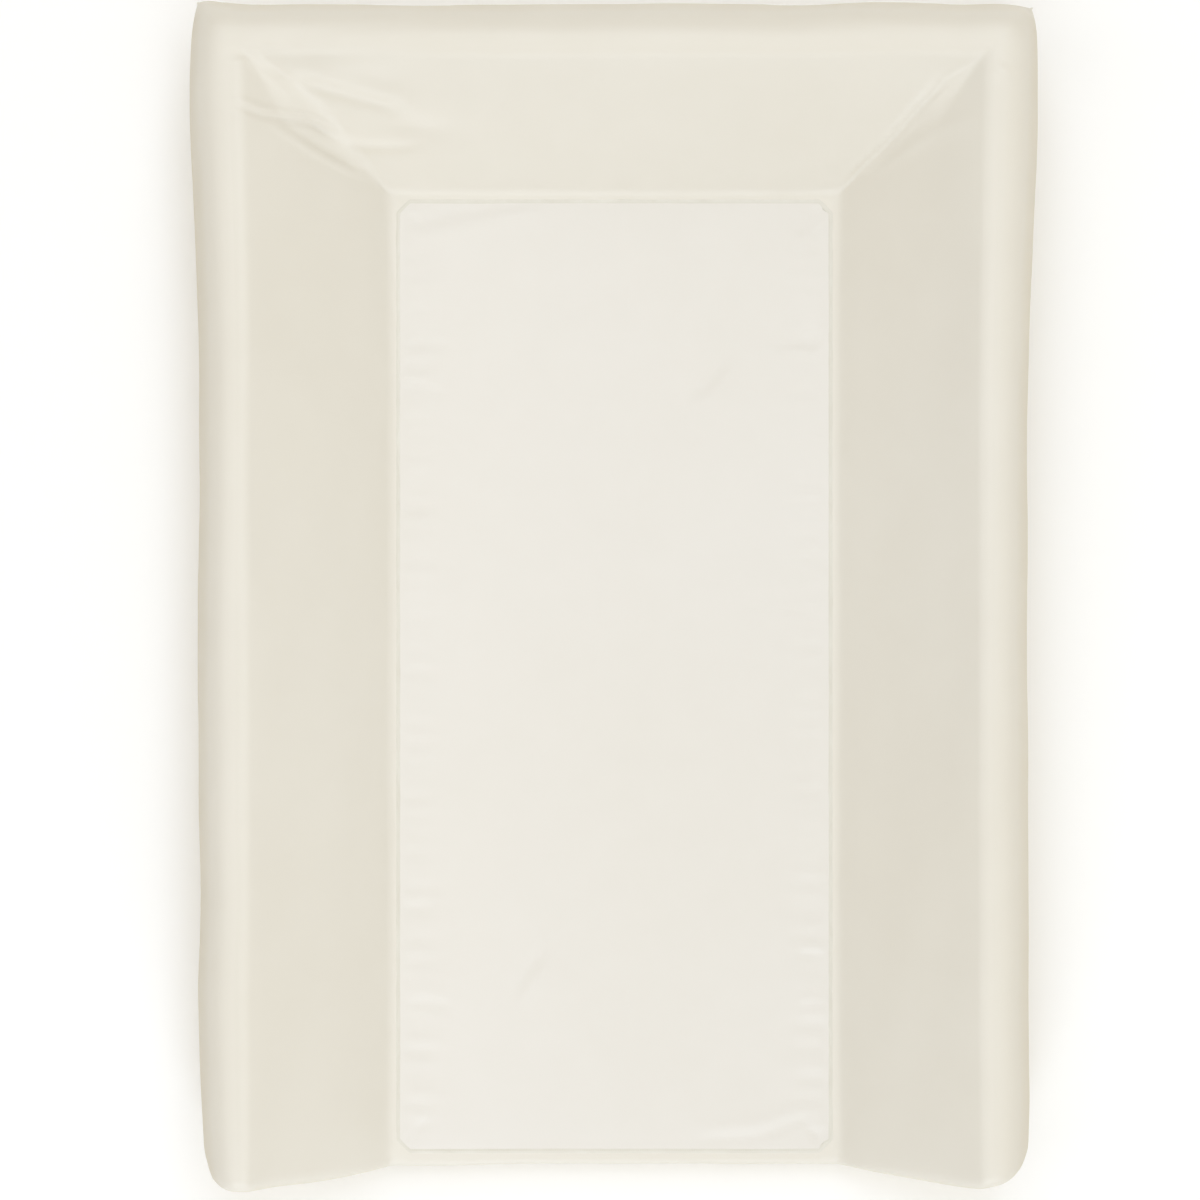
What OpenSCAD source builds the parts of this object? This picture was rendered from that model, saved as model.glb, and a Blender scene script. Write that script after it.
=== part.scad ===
// Three-sided changing pad: a flat foam slab with foam wedges along both long
// sides and the head, inside a welded wipe-clean film cover.
// Millimetres. +Z is up, +Y points at the head end, and the origin is at the
// middle of the underside.

/* [Pad] */
// Overall width, over the welded hem
pad_w = 500; // [440:5:560]
// Overall length, over the welded hem
pad_l = 700; // [640:5:820]
// Overall height, at the top of the wedges
pad_h = 100; // [80:1:120]
// Radius of the four upright corners, seen from above
corner_r = 24; // [18:1:34]

/* [Lying surface] */
// Width between the lines of the window weld
panel_w = 264; // [220:2:300]
// From the head end of the hem to the window weld
head_border = 108.5; // [90:0.5:140]
// From the foot wall to the window weld
foot_border = 8; // [5:1:16]
// Cut across each corner of the lying surface
panel_chamfer = 6; // [2:1:12]

/* [Foam] */
// Thickness of the slab under the whole pad
slab_t = 25; // [15:1:35]
// Radius of the rounded crest of a wedge
crest_r = 20; // [12:1:24]
// Radius of the top edge at the foot end of a side wedge
foot_r = 7; // [3:1:10]
// From the window weld to the toe of a wedge
toe_gap = 5; // [4:1:10]

/* [Cover] */
// Thickness of the film
film_t = 0.5; // [0.4:0.1:1]
// Width of the window weld
weld_w = 3; // [2.5:0.5:6]
// Thickness of a weld, where two films are fused
weld_t = 1.2; // [1:0.1:2]
// Width of the welded hem round the underside
hem_w = 4; // [3:0.5:6]
// How far a corner dart stands out from the wall
dart_depth = 1.5; // [1:0.5:2.5]

/* [Vents] */
// Clear hole of a vent eyelet
vent_d = 5; // [4:0.5:7]
// From the middle of the pad to a vent, along the head wall
vent_x = 120; // [60:5:150]

/* [Hidden] */

// Half sizes of the foam stack, inside the film and the hem
foam_x = pad_w / 2 - hem_w - film_t;
foam_y = pad_l / 2 - hem_w - film_t;
foam_corner_r = corner_r - hem_w;
slab_top = film_t + slab_t;
wedge_h = pad_h - film_t - slab_top;

// The window weld, and the toes of the wedges just outside it
weld_x = panel_w / 2;
weld_head_y = pad_l / 2 - head_border;
weld_foot_y = -foam_y - film_t + foot_border;
panel_l = weld_head_y - weld_foot_y;
panel_mid_y = (weld_head_y + weld_foot_y) / 2;
toe_x = weld_x + toe_gap;
toe_y = weld_head_y + toe_gap;
side_run = foam_x - toe_x;
head_run = foam_y - toe_y;

// Parts of a vent eyelet, halfway up the upright part of the head wall
vent_z = (slab_top + pad_h - crest_r) / 2;
barrel_wall = 1;
barrel_l = 4;
flange_over = 4;
flange_t = 0.8;
washer_t = 0.6;
pocket_clear = 1.5;
pocket_depth = 6;

// Smooth arcs, and how far a cutting shape runs past what it cuts
arc_steps = 10;
past = 5;

// Slope of a wedge whose face runs from its toe up to a tangent on the crest
function slope(run) =
    atan2(wedge_h - crest_r, run - crest_r)
    + asin(crest_r / norm([run - crest_r, wedge_h - crest_r]));

function arc(cx, cy, r, from, to) =
    [for (i = [0:arc_steps])
        let (t = from + (to - from) * i / arc_steps)
        [cx + r * cos(t), cy + r * sin(t)]];

// Cross-section of a wedge up to its crest, then level: x is measured out from
// the toe and y up from the slab. grow moves the face outwards by a film.
function ramp(run, grow) =
    let (a = slope(run), toe = -grow * tan(a / 2))
    concat(
        [[toe, -slab_t / 2], [toe, grow]],
        arc(run - crest_r, wedge_h - crest_r, crest_r + grow, 90 + a, 90),
        [[run + past, wedge_h + grow], [run + past, -slab_t / 2]]
    );

// Block with its two top edges rounded: y is measured up from the slab
function loaf(half_w, left_r, right_r, grow) =
    let (w = half_w + grow, h = wedge_h + grow, lr = left_r + grow, rr = right_r + grow)
    concat(
        [[w, -slab_t / 2]],
        arc(w - rr, h - rr, rr, 0, 90),
        arc(lr - w, h - lr, lr, 90, 180),
        [[-w, -slab_t / 2]]
    );

// Rectangle with rounded corners, or cut ones when steps is 1
function plan_points(w, l, r, steps) =
    [for (q = [0:3], i = [0:steps])
        let (t = 90 * (q + i / steps),
             sx = q == 0 || q == 3 ? 1 : -1,
             sy = q < 2 ? 1 : -1)
        [sx * (w / 2 - r) + r * cos(t), sy * (l / 2 - r) + r * sin(t)]];

module rounded_rect(w, l, r) {
    polygon(plan_points(w, l, r, arc_steps));
}

// Runs a cross-section along the pad, or across it
module along_pad() {
    translate([0, 0, slab_top])
        rotate([90, 0, 0])
            linear_extrude(pad_l + 2 * past, center = true)
                children();
}

module across_pad() {
    translate([0, 0, slab_top])
        rotate([90, 0, 90])
            linear_extrude(pad_w + 2 * past, center = true)
                children();
}

// The block that all three wedges are cut from, with its rounded crests
module crest_form(grow) {
    intersection() {
        along_pad() polygon(loaf(foam_x, crest_r, crest_r, grow));
        across_pad() polygon(loaf(foam_y, foot_r, crest_r, grow));
    }
}

module side_ramp(grow) {
    along_pad() translate([toe_x, 0]) polygon(ramp(side_run, grow));
}

module head_ramp(grow) {
    across_pad() translate([toe_y, 0]) polygon(ramp(head_run, grow));
}

// Plan outline of the foam stack, moved outwards by grow
module foam_plan(grow = 0) {
    rounded_rect(2 * (foam_x + grow), 2 * (foam_y + grow), foam_corner_r + grow);
}

// The whole foam stack at grow 0, and the outer face of the film at film_t
module pad_form(grow, floor_z) {
    intersection() {
        translate([0, 0, floor_z])
            linear_extrude(pad_h + past)
                foam_plan(grow);
        union() {
            translate([-pad_w / 2, -pad_l / 2, floor_z])
                cube([pad_w, pad_l, slab_top + grow - floor_z]);
            intersection() {
                crest_form(grow);
                union() {
                    side_ramp(grow);
                    mirror([1, 0, 0]) side_ramp(grow);
                    head_ramp(grow);
                }
            }
        }
    }
}

// Outline of the window in the cover, moved outwards by grow
module window_plan(grow) {
    chamfer = panel_chamfer + grow * (2 - sqrt(2));
    translate([0, panel_mid_y])
        polygon(plan_points(panel_w + 2 * grow, panel_l + 2 * grow, chamfer, 1));
}

// Plan of the head wedge: it meets each side wedge on the line where both are
// equally high
module head_mitre_plan() {
    reach = foam_x + past - toe_x;
    rise = reach * tan(slope(side_run)) / tan(slope(head_run));
    polygon([
        [-toe_x, toe_y], [toe_x, toe_y],
        [toe_x + reach, toe_y + rise], [toe_x + reach, pad_l],
        [-toe_x - reach, pad_l], [-toe_x - reach, toe_y + rise]
    ]);
}

module base_sheet() {
    color("ivory")
        linear_extrude(film_t)
            rounded_rect(pad_w, pad_l, corner_r);
}

module perimeter_weld() {
    color("antiquewhite")
        translate([0, 0, film_t])
            linear_extrude(weld_t)
                difference() {
                    rounded_rect(pad_w, pad_l, corner_r);
                    foam_plan(film_t);
                }
}

module border_skin() {
    color("ivory")
        difference() {
            pad_form(film_t, film_t);
            pad_form(0, film_t - past);
            translate([0, 0, slab_top - past])
                linear_extrude(2 * past)
                    window_plan(weld_w / 2);
            vent_places() vent_bore(vent_d / 2 + barrel_wall, 2 * past);
        }
}

module centre_panel() {
    color("white")
        translate([0, 0, slab_top])
            linear_extrude(film_t)
                window_plan(-weld_w / 2);
}

module centre_weld() {
    color("antiquewhite")
        translate([0, 0, slab_top])
            linear_extrude(weld_t)
                difference() {
                    window_plan(weld_w / 2);
                    window_plan(-weld_w / 2);
                }
}

// Welded fin that closes the cover at an upright corner, up to the crest
module corner_dart(sx, sy) {
    inside = foam_corner_r - dart_depth;
    bottom = film_t + weld_t;
    color("antiquewhite")
        translate([0, 0, bottom])
            linear_extrude(pad_h - crest_r - bottom)
                difference() {
                    translate([sx * (foam_x - foam_corner_r), sy * (foam_y - foam_corner_r)])
                        rotate(atan2(sy, sx))
                            translate([inside, -weld_t / 2])
                                square([2 * dart_depth + film_t, weld_t]);
                    foam_plan(film_t);
                }
}

module foam_slab() {
    color("lemonchiffon")
        translate([0, 0, film_t])
            linear_extrude(slab_t)
                foam_plan();
}

// Foam above the slab, inside the plan outline given as a child
module foam_above_slab() {
    intersection() {
        crest_form(0);
        translate([0, 0, slab_top])
            linear_extrude(wedge_h)
                children();
    }
}

module foam_wedge_side() {
    color("lemonchiffon")
        intersection() {
            side_ramp(0);
            foam_above_slab()
                difference() {
                    foam_plan();
                    head_mitre_plan();
                }
        }
}

module foam_wedge_head() {
    color("lemonchiffon")
        difference() {
            intersection() {
                head_ramp(0);
                foam_above_slab()
                    intersection() {
                        foam_plan();
                        head_mitre_plan();
                    }
            }
            vent_places()
                vent_bore(vent_d / 2 + flange_over + pocket_clear, pocket_depth);
        }
}

// Puts its children at both vents, with +Z pointing out of the head wall
module vent_places() {
    for (side = [-1, 1]) vent_place(side) children();
}

module vent_place(side) {
    translate([side * vent_x, foam_y, vent_z])
        rotate([-90, 0, 0])
            children();
}

// Hole of radius r that starts depth inside the foam face and runs out past it
module vent_bore(r, depth) {
    translate([0, 0, -depth])
        cylinder(r = r, h = depth + past, $fn = 48);
}

module vent_eyelet(side) {
    color("whitesmoke")
        vent_place(side)
            difference() {
                union() {
                    translate([0, 0, film_t])
                        cylinder(r = vent_d / 2 + flange_over, h = flange_t, $fn = 48);
                    translate([0, 0, film_t - barrel_l])
                        cylinder(r = vent_d / 2 + barrel_wall, h = barrel_l, $fn = 48);
                }
                vent_bore(vent_d / 2, 2 * past);
            }
}

module vent_washer(side) {
    color("whitesmoke")
        vent_place(side)
            translate([0, 0, -washer_t])
                difference() {
                    cylinder(r = vent_d / 2 + flange_over, h = washer_t, $fn = 48);
                    translate([0, 0, -past])
                        cylinder(r = vent_d / 2 + barrel_wall, h = 2 * past, $fn = 48);
                }
}

base_sheet();
perimeter_weld();
border_skin();
centre_panel();
centre_weld();
corner_dart(-1, 1);  // corner_dart_head_left
corner_dart(1, 1);  // corner_dart_head_right
corner_dart(-1, -1);  // corner_dart_foot_left
corner_dart(1, -1);  // corner_dart_foot_right
foam_slab();
mirror([1, 0, 0]) foam_wedge_side();  // foam_wedge_left
foam_wedge_side();  // foam_wedge_right
foam_wedge_head();
vent_eyelet(-1);  // vent_eyelet_left
vent_eyelet(1);  // vent_eyelet_right
vent_washer(-1);  // vent_washer_left
vent_washer(1);  // vent_washer_right
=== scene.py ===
"""Three-sided changing pad: film cover, welds, foam and vents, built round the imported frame."""

import math

import bmesh
import bpy
import numpy as np
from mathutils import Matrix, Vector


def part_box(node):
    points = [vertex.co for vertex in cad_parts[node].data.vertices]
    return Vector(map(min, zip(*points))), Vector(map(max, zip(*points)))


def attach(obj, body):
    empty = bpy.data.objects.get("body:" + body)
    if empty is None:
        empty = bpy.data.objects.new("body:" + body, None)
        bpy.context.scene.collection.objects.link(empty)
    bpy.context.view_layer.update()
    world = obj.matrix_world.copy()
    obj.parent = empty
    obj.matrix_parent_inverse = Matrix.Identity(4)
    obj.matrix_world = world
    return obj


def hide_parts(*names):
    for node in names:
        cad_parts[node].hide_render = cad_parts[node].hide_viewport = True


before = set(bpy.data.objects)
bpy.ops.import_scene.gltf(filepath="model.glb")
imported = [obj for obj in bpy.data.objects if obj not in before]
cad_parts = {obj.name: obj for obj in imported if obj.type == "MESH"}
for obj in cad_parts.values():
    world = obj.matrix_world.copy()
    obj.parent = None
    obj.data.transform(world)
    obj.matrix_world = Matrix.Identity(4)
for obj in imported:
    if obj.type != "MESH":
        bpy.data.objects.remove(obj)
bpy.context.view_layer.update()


# Sizes, in millimetres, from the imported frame. Left is -X, and the head end is +Y.


def box_mm(node):
    low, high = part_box(node)
    return np.array(low) * 1000, np.array(high) * 1000


WALL_X, WALL_Y, TOP = box_mm("border_skin")[1]
HEM_X, HEM_Y, BASE_TOP = box_mm("base_sheet")[1]
HEM_TOP = box_mm("perimeter_weld")[1][2]
LIE = box_mm("centre_panel")[1][2]
SLAB_TOP = box_mm("foam_slab")[1][2]
FILM = LIE - SLAB_TOP
WELD_LOW, WELD_HIGH = box_mm("centre_weld")
PANEL_LOW, PANEL_HIGH = box_mm("centre_panel")
WELD_X, WELD_HEAD = (WELD_HIGH[:2] + PANEL_HIGH[:2]) / 2  # the middle of the window weld
WELD_FOOT = (WELD_LOW[1] + PANEL_LOW[1]) / 2
LAP = 0.9  # the films end this far short of the middle of the weld
WINDOW_X, WINDOW_HEAD, WINDOW_FOOT = WELD_X + LAP, WELD_HEAD + LAP, WELD_FOOT - LAP
TOE_X = box_mm("foam_wedge_right")[0][0]
TOE_Y = box_mm("foam_wedge_head")[0][1]
VENT = sum(box_mm("vent_eyelet_right")) / 2

CREST = 20.5  # width of the rounded outer edge of a crest, over the film
BELLY = 2.8  # the walls swell by this much
BELLY_Z = 58  # height at which they are widest
INNER = 11  # radius of the inner side of a crest
FOOT_EDGE = 7.5  # radius of a wedge's top edge at the foot
CHAMFER = 7.2  # cut at the corners of the window
TOE_FILLET = 10  # the film bridges the toe of a slope
VENT_HOLE = 4.4  # radius of the hole in the film for a vent's barrel
BORDER_GIVE, PANEL_GIVE = 0.55, 0.4  # shares of the simulated move that are kept

FOAM_INSET = 2.0  # the foam stands this far inside the film
CREST_GAP = 2.4  # and this far inside the rounded crests
FOAM_CORNER, FOAM_CORNER_TOP = 20, 32  # radii of the head corners, at the belly and the top
FOAM_VOXEL = 0.0045  # in metres, for rounding the foam's edges


# Curves and noise


def ease(low, high, x):
    t = np.clip((x - low) / (high - low), 0, 1)
    return t * t * (3 - 2 * t)


def bump(x, middle, width):
    return np.exp(-(((x - middle) / width) ** 2))


def waves(x, y, seed, scale, count=9):
    """Smooth seeded noise, about -1 to 1, whose features are about scale across."""
    rng = np.random.default_rng(seed)
    total = np.zeros(np.broadcast(x, y).shape)
    for _ in range(count):
        angle, phase = rng.uniform(0, 2 * math.pi, 2)
        k = 2 * math.pi / (scale * rng.uniform(0.7, 2.0))
        total += np.sin(k * (x * math.cos(angle) + y * math.sin(angle)) + phase)
    return total / math.sqrt(count) / 1.4


def ramp(t, apex, height):
    """Height of a wedge's face at distance t from its toe: fillet, slope and rounded crest. The
    slope is the CAD's, which runs up to a crest of radius CREST whose top is apex from the toe."""
    rise = height - CREST
    angle = math.atan2(rise, apex) + math.asin(CREST / math.hypot(apex, rise))
    back = TOE_FILLET * math.tan(angle / 2)
    face = t * math.tan(angle)
    in_fillet = TOE_FILLET - np.sqrt(np.maximum(TOE_FILLET**2 - (t + back) ** 2, 0))
    top = height / math.tan(angle) + INNER * math.tan(angle / 2)
    on_crest = height - INNER + np.sqrt(np.maximum(INNER**2 - (top - t) ** 2, 0))
    z = np.where(t < -back, 0, in_fillet)
    z = np.where(t > TOE_FILLET * math.sin(angle) - back, face, z)
    z = np.where(t > top - INNER * math.sin(angle), on_crest, z)
    return np.where(t > top, height, z)


def belly(z):
    """How far beyond the wall the swollen side of the cover stands at height z: an oval from the
    top of the crest to the widest part, and a barrel below that."""
    up = np.clip((z - BELLY_Z) / (TOP - BELLY_Z), 0, 1)
    down = np.clip((BELLY_Z - z) / (BELLY_Z - HEM_TOP), 0, 1)
    above = (CREST + BELLY) * np.sqrt(1 - up**2) - CREST
    below = BELLY * np.cos(down * math.pi / 2) ** 0.9
    return np.where(z > BELLY_Z, above, below)


def smooth_max(a, b, k):
    """The greater of a and b, blended where they are within k of each other."""
    k = np.maximum(k, 1e-6)
    blend = np.maximum(k - np.abs(a - b), 0)
    return np.maximum(a, b) + blend**2 / (4 * k)


def fold(x, y, path, width, depth, ridge=0.5, fade=0.35):
    """A crease along path, a list of (x, y): a valley if depth is below 0, with a lip beside it.
    ridge is the height of the lip, as a share of the depth, on the left of the path. fade is the
    share of the path over which each end dies away."""
    points = np.array(path, float)
    best = np.full(x.shape, 1e9)
    side = np.zeros(x.shape)
    along = np.zeros(x.shape)
    lengths = np.hypot(*np.diff(points, axis=0).T)
    total, gone = lengths.sum(), 0.0
    for a, b, length in zip(points[:-1], points[1:], lengths):
        d = (b - a) / length
        t = np.clip((x - a[0]) * d[0] + (y - a[1]) * d[1], 0, length)
        ox, oy = x - a[0] - t * d[0], y - a[1] - t * d[1]
        distance = np.hypot(ox, oy)
        near = distance < best
        best = np.where(near, distance, best)
        side = np.where(near, np.sign(d[0] * oy - d[1] * ox), side)
        along = np.where(near, (gone + t) / total, along)
        gone += length
    strength = ease(0, fade, along) * ease(0, fade, 1 - along)
    offset = best * side
    shape = bump(offset, 0, width) - ridge * bump(offset, 1.9 * width, 1.3 * width)
    return depth * strength * shape


# Where the cover's outline really runs: hand-made covers are not square. Outward is positive.


def outline_x(y, left):
    if left:
        return (
            -0.7 + 1.0 * ease(120, 230, y) + 4.0 * bump(y, 300, 62) - 3.2 * bump(y, -345, 42)
            - 0.9 * bump(y, 62, 38) + 0.8 * bump(y, -40, 50) - 1.3 * bump(y, -172, 34)
            + 1.4 * bump(y, -232, 30) + 0.4 * np.sin(y / 31)
        )
    return (
        -2.5 + 0.6 * ease(60, 150, y) + 5.3 * bump(y, 280, 78) + 1.2 * bump(y, 346, 30)
        - 0.7 * bump(y, 0, 42) + 0.9 * bump(y, -290, 34) + 0.7 * bump(y, -225, 40) + 0.35 * np.sin(y / 27 + 1)
    )


def outline_y(x, head):
    if head:
        return (
            4.3 + 1.0 * bump(x, -229, 10) + 3.6 * bump(x, -242, 9) + 1.8 * bump(x, 152, 36)
            - 0.8 * bump(x, 205, 14) + 0.3 * np.sin(x / 29)
        )
    slack = 4.0 * bump(x, -162, 40) + 4.2 * bump(x, -112, 45) + 2.2 * bump(x, 155, 35)
    slack = slack - 3.6 * bump(x, 232, 15)
    return 0.9 + 1.6 * ease(150, 225, np.abs(x)) + slack + 0.3 * np.sin(x / 23)


def near_vent(x, y, z):
    """1 at a vent, where the film is held flat, and 0 away from it, over the head wall."""
    across = ((np.abs(x) - VENT[0]) / 27) ** 2 + ((z - VENT[2]) / np.where(z > VENT[2], 19, 27)) ** 2
    return np.exp(-(across**2)) * (y > WALL_Y - CREST)


def spread(p):
    """Moves points outwards to the cover's real outline, more near the top than at the hem. The
    window and its weld stay where they are."""
    x, y, z = p[..., 0], p[..., 1], p[..., 2]
    high = ease(0, 70, z)
    out_x = np.where(x < 0, outline_x(y, True), outline_x(y, False))
    out_y = np.where(y > 0, outline_y(x, True), outline_y(x, False))
    out_y = out_y * (1 - near_vent(x, y, z))
    q = p.copy()
    q[..., 0] += np.sign(x) * out_x * high * ease(190, WALL_X, np.abs(x))
    start = 340.5 - 15.5 * ease(WINDOW_X + 3, WINDOW_X + 25, np.abs(x))
    reach_y = np.where(y > 0, ease(255, WALL_Y, y), ease(start, WALL_Y, -y))
    q[..., 1] += np.sign(y) * out_y * high * reach_y
    return q


# The border skin: a top grid with a hole for the window, and a wall strip down to the hem


def axis(segments, fine):
    """Sample positions, and where each falls between the coarse samples.
    A segment is (start, end, coarse cells, fine cells per coarse cell, spacing). Spacing is even,
    closer at the start ("leave") or closer at the end ("reach")."""
    positions, index, base = [segments[0][0]], [0.0], 0
    for start, end, cells, multiple, spacing in segments:
        n = cells * (multiple if fine else 1)
        for i in range(1, n + 1):
            t = i / n
            if spacing == "leave":
                t = 1 - math.cos(t * math.pi / 2)
            if spacing == "reach":
                t = math.sin(t * math.pi / 2)
            positions.append(start + (end - start) * t)
            index.append(base + i / n * cells)
        base += cells
    return np.array(positions), np.array(index)


def skin_axes(fine):
    apex_x, apex_y = WALL_X - CREST, WALL_Y - CREST
    xs = axis(
        [
            (-WALL_X, -apex_x, 5, 2, "leave"),
            (-apex_x, -WINDOW_X, 16, 4, "even"),
            (-WINDOW_X, WINDOW_X, 34, 2, "even"),
            (WINDOW_X, apex_x, 16, 4, "even"),
            (apex_x, WALL_X, 5, 2, "reach"),
        ],
        fine,
    )
    ys = axis(
        [
            (-WALL_Y, WINDOW_FOOT, 3, 2, "leave"),
            (WINDOW_FOOT, WINDOW_HEAD, 64, 2, "even"),
            (WINDOW_HEAD, apex_y, 15, 4, "even"),
            (apex_y, WALL_Y, 5, 2, "reach"),
        ],
        fine,
    )
    return xs, ys


def corner_plan(x, y, square):
    """Rounds the corners of the plan. Returns the new plan, how far out each point is, from 0 at
    the top of the crest to 1 at the wall, and the share of that which is sideways."""
    u = np.clip((np.abs(x) - (WALL_X - CREST)) / CREST, 0, 1)
    v = np.clip((np.abs(y) - (WALL_Y - CREST)) / CREST, 0, 1)
    eu, ev = u * np.sqrt(1 - v * v / 2), v * np.sqrt(1 - u * u / 2)
    rho = np.hypot(eu, ev)
    sideways = np.where(rho > 0, eu**2 / np.maximum(rho, 1e-9) ** 2, 1)
    inside_x, inside_y = np.minimum(np.abs(x), WALL_X - CREST), np.minimum(np.abs(y), WALL_Y - CREST)
    px = np.sign(x) * (inside_x + CREST * ((1 - square) * eu + square * u))
    py = np.sign(y) * (inside_y + CREST * ((1 - square) * ev + square * v))
    return px, py, rho, sideways


def squareness(x, y):
    """How square each corner of the cover is at its top: the head corners stand out as ears."""
    return np.where(y > 0, np.where(x < 0, 0.75, 0.7), np.where(x < 0, 0.12, -0.1))


def relief(x, y):
    """The folds that the film has settled into over the slopes and crests."""
    z = np.zeros(x.shape)
    # head left: a fan of folds from the crest corner, and a hollow behind the head crest
    deep = [(-229, 311.5), (-217, 314.5), (-207, 315.5), (-193, 304), (-186, 303.5)]
    z += fold(x, y, deep, 2.0, -1.5, -0.6, 0.3)
    z += fold(x, y, [(-193, 303), (-156, 296), (-130, 290), (-118, 282)], 3.4, 2.1, 0.5, 0.25)
    z += fold(x, y, [(-172, 273), (-150, 271.5), (-125, 271.5), (-106, 275)], 3.0, 1.5, 0.0, 0.3)
    z += fold(x, y, [(-196, 283), (-182, 281.5), (-163, 271.5)], 1.9, -1.1, 0.5, 0.3)
    z += fold(x, y, [(-229, 289), (-208, 282), (-180, 280), (-162, 274)], 1.9, -1.3, 0.9, 0.3)
    z += fold(x, y, [(-209, 281), (-182, 266), (-160, 256.5), (-144, 252)], 2.6, 1.1, 0.8, 0.35)
    crest_line = [(-205, 314), (-179, 320.5), (-154, 324), (-104, 326), (-9, 326.5), (176, 325)]
    z += fold(x, y, crest_line, 3.6, 0.7, 0.5, 0.2)
    z -= 2.2 * bump(x, -160, 42) * bump(y - (x + 160) * 0.10, 311, 6.0)
    z += 2.1 * bump(x + (y - 283) * 1.2, -120, 20) * bump(y, 281, 6)
    # head right: one sharp crease up the mitre, a soft fold beside it, and a dimple at the crest
    z += fold(x, y, [(137, 247.5), (150, 260), (167, 275), (199.5, 306.5)], 1.9, -1.3, 0.5, 0.2)
    z += fold(x, y, [(146, 252), (157, 258), (190, 275), (221, 284)], 5.5, 1.5, -0.6, 0.4)
    z += fold(x, y, [(218, 310), (226, 305), (232, 298)], 2.6, 0.7, 0.4, 0.45)
    # slack that shows as long, low ripples down the side slopes
    side = ease(145, 175, np.abs(x)) * ease(228, 205, np.abs(x)) * ease(230, 190, y)
    z += 0.55 * side * waves(x * 2.2, y, 5, 150)
    z += 0.30 * ease(140, 165, np.abs(x)) * waves(x * 1.5, y, 8, 55)
    head = ease(250, 270, y) * ease(130, 100, np.abs(x))
    z += 0.45 * head * waves(x, y * 2.0, 6, 120)
    # puckers that the window weld leaves in the border
    gap_x = np.abs(x) - WINDOW_X
    gap_y = y - WINDOW_HEAD
    z += 0.28 * bump(gap_x, 7, 5) * (y < WINDOW_HEAD + 6) * waves(x * 0.15, y, 11, 15)
    z += 0.28 * bump(gap_y, 7, 5) * (gap_x < 6) * waves(x, y * 0.15, 12, 15)
    return z


def skin_points(xs, ys, wall_steps, detail):
    """Outer face of the border skin: the top grid, and the wall rows under its edge."""
    gx, gy = np.meshgrid(xs, ys, indexing="ij")
    square = squareness(gx, gy)
    x, y, rho, sideways = corner_plan(gx, gy, square)
    # the window's cut corners pull the film in after them
    for sx in (-1, 1):
        for wy, sy in ((WINDOW_HEAD, 1), (WINDOW_FOOT, -1)):
            near = 1 - np.maximum(np.abs(gx - sx * WINDOW_X), np.abs(gy - wy)) / CHAMFER
            pull = CHAMFER / 2 * np.clip(near, 0, 1)
            x, y = x - sx * pull, y - sy * pull
    height = TOP - LIE
    side = ramp(np.abs(x) - TOE_X, WALL_X - CREST - TOE_X, height)
    head = ramp(y - TOE_Y, WALL_Y - CREST - TOE_Y, height)
    # the film bridges the valley between two slopes
    tallest = np.maximum(side, head)
    room = ease(0, 30, height - tallest) * ease(0, 16, tallest)
    outward = ease(TOE_X, WALL_X - CREST, np.abs(x))
    h = smooth_max(side, head, room * np.where(x < 0, 9 + 30 * outward, 5 + 24 * outward))
    # the slopes are a little plump between the weld and the crest
    plump_x = np.clip((np.abs(x) - TOE_X) / (WALL_X - CREST - TOE_X), 0, 1)
    plump_y = np.clip((y - TOE_Y) / (WALL_Y - CREST - TOE_Y), 0, 1)
    plump = np.where(side > head, np.sin(math.pi * plump_x), np.sin(math.pi * plump_y))
    h = h + 0.7 * plump**1.5 * ease(0, 14, np.abs(side - head)) * ease(-346, -320, y)
    if detail:
        h = h + relief(x, y)
    foot_edge = 3 + (FOOT_EDGE - 3) * ease(0, 40, h)
    d = CREST * (1 - rho)
    fall = foot_edge - np.sqrt(np.maximum(foot_edge**2 - (foot_edge - d) ** 2, 0))
    foot_fall = np.where(d < foot_edge, fall, 0)
    oval = (TOP - BELLY_Z) * (1 - np.sqrt(1 - (CREST * rho / (CREST + BELLY)) ** 2))
    full = np.where(y > 0, 1, sideways)
    top = np.stack([x, y, LIE + h - (oval * full + foot_fall * (1 - full))], -1)

    loop_i, loop_j = loop_indices(len(xs), len(ys))
    rim = top[loop_i, loop_j]
    bx, by, _, _ = corner_plan(gx[loop_i, loop_j], gy[loop_i, loop_j], np.zeros(len(loop_i)))
    after, before = np.roll(np.stack([bx, by], -1), -1, 0), np.roll(np.stack([bx, by], -1), 1, 0)
    run = after - before
    out = np.stack([run[:, 1], -run[:, 0]], -1)
    out /= np.linalg.norm(out, axis=1)[:, None]
    tall = ease(10, 80, rim[:, 2])
    full = full[loop_i, loop_j]
    along = np.cumsum(np.hypot(bx - np.roll(bx, 1), by - np.roll(by, 1)))
    rows = []
    for t in wall_steps[1:]:
        z = rim[:, 2] + (HEM_TOP - 0.5 - rim[:, 2]) * t
        mix = ease(0, 1, t)
        plan = rim[:, :2] * (1 - mix) + np.stack([bx, by], -1) * mix
        swell = full * belly(z) + (1 - full) * (0.7 + 2.0 * tall) * math.sin(math.pi * t) ** 0.8
        if detail:
            low = bump(z, 2, 14)
            swell = swell + 0.55 * low * waves(along, z * 0.3, 21, 16) * math.sin(math.pi * t)
            swell = swell + 0.5 * tall * waves(along, z * 1.3, 22, 90) * math.sin(math.pi * t)
        swell = swell * (1 - near_vent(bx, by, z))
        plan = plan + out * swell[:, None]
        rows.append(np.column_stack([plan, z]))
    wall = np.stack(rows, 1)
    return top, wall


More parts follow.
